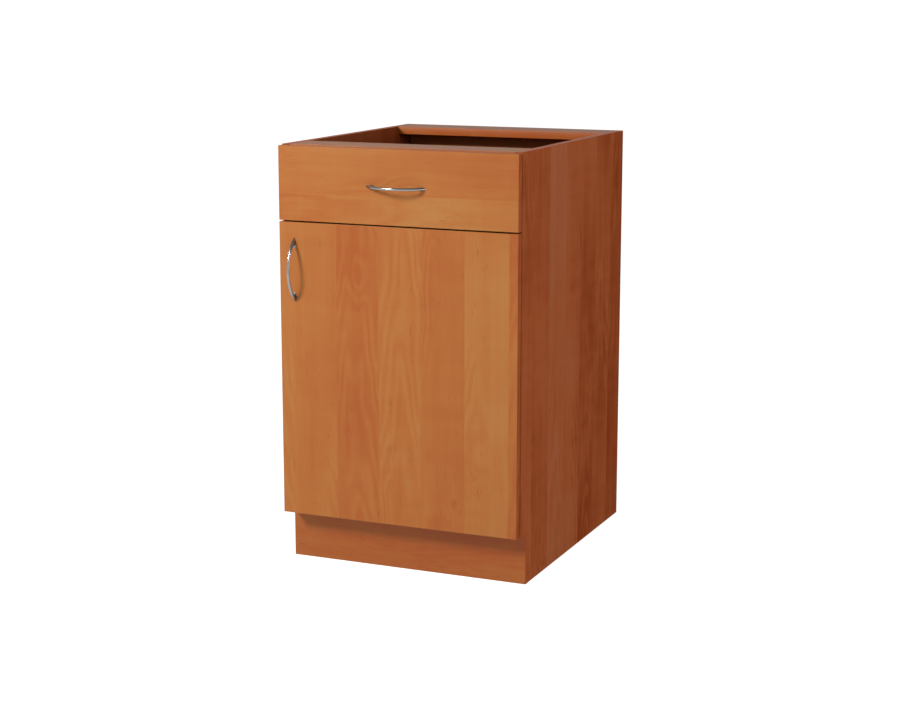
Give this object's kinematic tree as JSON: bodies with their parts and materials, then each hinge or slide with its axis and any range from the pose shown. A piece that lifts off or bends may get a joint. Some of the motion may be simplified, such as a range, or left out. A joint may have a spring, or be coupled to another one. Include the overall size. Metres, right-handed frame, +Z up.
{
  "type": "base_cabinet_drawer_door",
  "caption": "Open-topped hospital base cabinet in orange-brown woodgrain laminate, one drawer above one door, chrome bow handles, recessed plinth",
  "frame": {"origin": "On the floor, in the middle of the footprint with the handles included", "axes": "+X the cabinet's right seen from the front, +Y towards its back, +Z up"},
  "size_m": [0.5, 0.6292, 0.834],
  "materials": {
    "laminate": "satin melamine woodgrain",
    "hardboard": "dull thin fibreboard",
    "chrome": "polished",
    "zinc": "bright zinc plating",
    "runner_coat": "off-white powder coat",
    "nylon": "moulded nylon",
    "clear_bumper": "soft clear"
  },
  "bodies": {
    "carcass": {"left_side_panel": "laminate", "right_side_panel": "laminate", "bottom_panel": "laminate", "front_top_rail": "laminate", "back_top_rail": "laminate", "back_panel": "hardboard", "plinth_board": "laminate", "shelf": "laminate", "left_front_shelf_pin": "zinc", "left_back_shelf_pin": "zinc", "right_front_shelf_pin": "zinc", "right_back_shelf_pin": "zinc", "left_cabinet_runner": "runner_coat", "right_cabinet_runner": "runner_coat", "upper_hinge_arm": "zinc", "lower_hinge_arm": "zinc", "upper_mounting_plate": "zinc", "lower_mounting_plate": "zinc", "upper_plate_screw_1": "zinc", "upper_plate_screw_2": "zinc", "lower_plate_screw_1": "zinc", "lower_plate_screw_2": "zinc", "upper_arm_screw": "zinc", "lower_arm_screw": "zinc"},
    "cabinet_rollers": {"left_cabinet_roller": "nylon", "right_cabinet_roller": "nylon"},
    "drawer": {"drawer_front": "laminate", "drawer_left_side": "laminate", "drawer_right_side": "laminate", "drawer_back": "laminate", "drawer_bottom": "hardboard", "left_drawer_runner": "runner_coat", "right_drawer_runner": "runner_coat", "drawer_handle": "chrome", "left_drawer_handle_screw": "zinc", "right_drawer_handle_screw": "zinc", "drawer_left_bumper": "clear_bumper", "drawer_right_bumper": "clear_bumper"},
    "drawer_rollers": {"left_drawer_roller": "nylon", "right_drawer_roller": "nylon"},
    "door": {"door_panel": "laminate", "door_handle": "chrome", "upper_door_handle_screw": "zinc", "lower_door_handle_screw": "zinc", "door_upper_bumper": "clear_bumper", "door_lower_bumper": "clear_bumper", "upper_hinge_cup": "zinc", "lower_hinge_cup": "zinc", "upper_hinge_pin": "zinc", "lower_hinge_pin": "zinc", "upper_cup_screw_1": "zinc", "upper_cup_screw_2": "zinc", "lower_cup_screw_1": "zinc", "lower_cup_screw_2": "zinc"}
  },
  "joints": [
    {"name": "drawer_slide", "type": "slide", "parent": "carcass", "child": "drawer", "axis": [0, -1, 0], "range_m": [0, 0.36]},
    {"name": "door_swing", "type": "hinge", "parent": "carcass", "child": "door", "pos_m": [0.2428, -0.27895, 0.3935], "axis": [0, 0, 1], "range_deg": [0, 95]},
    {"name": "cabinet_roller_spin", "type": "hinge", "parent": "carcass", "child": "cabinet_rollers", "pos_m": [0, -0.25135, 0.704], "axis": [1, 0, 0], "continuous": true},
    {"name": "drawer_roller_spin", "type": "hinge", "parent": "drawer", "child": "drawer_rollers", "pos_m": [0, 0.21865, 0.7005], "axis": [1, 0, 0], "continuous": true}
  ],
  "couplings": [
    {"joint": "cabinet_roller_spin", "follows": "drawer_slide", "rad_per_m": 111.11},
    {"joint": "drawer_roller_spin", "follows": "drawer_slide", "rad_per_m": 111.11}
  ]
}
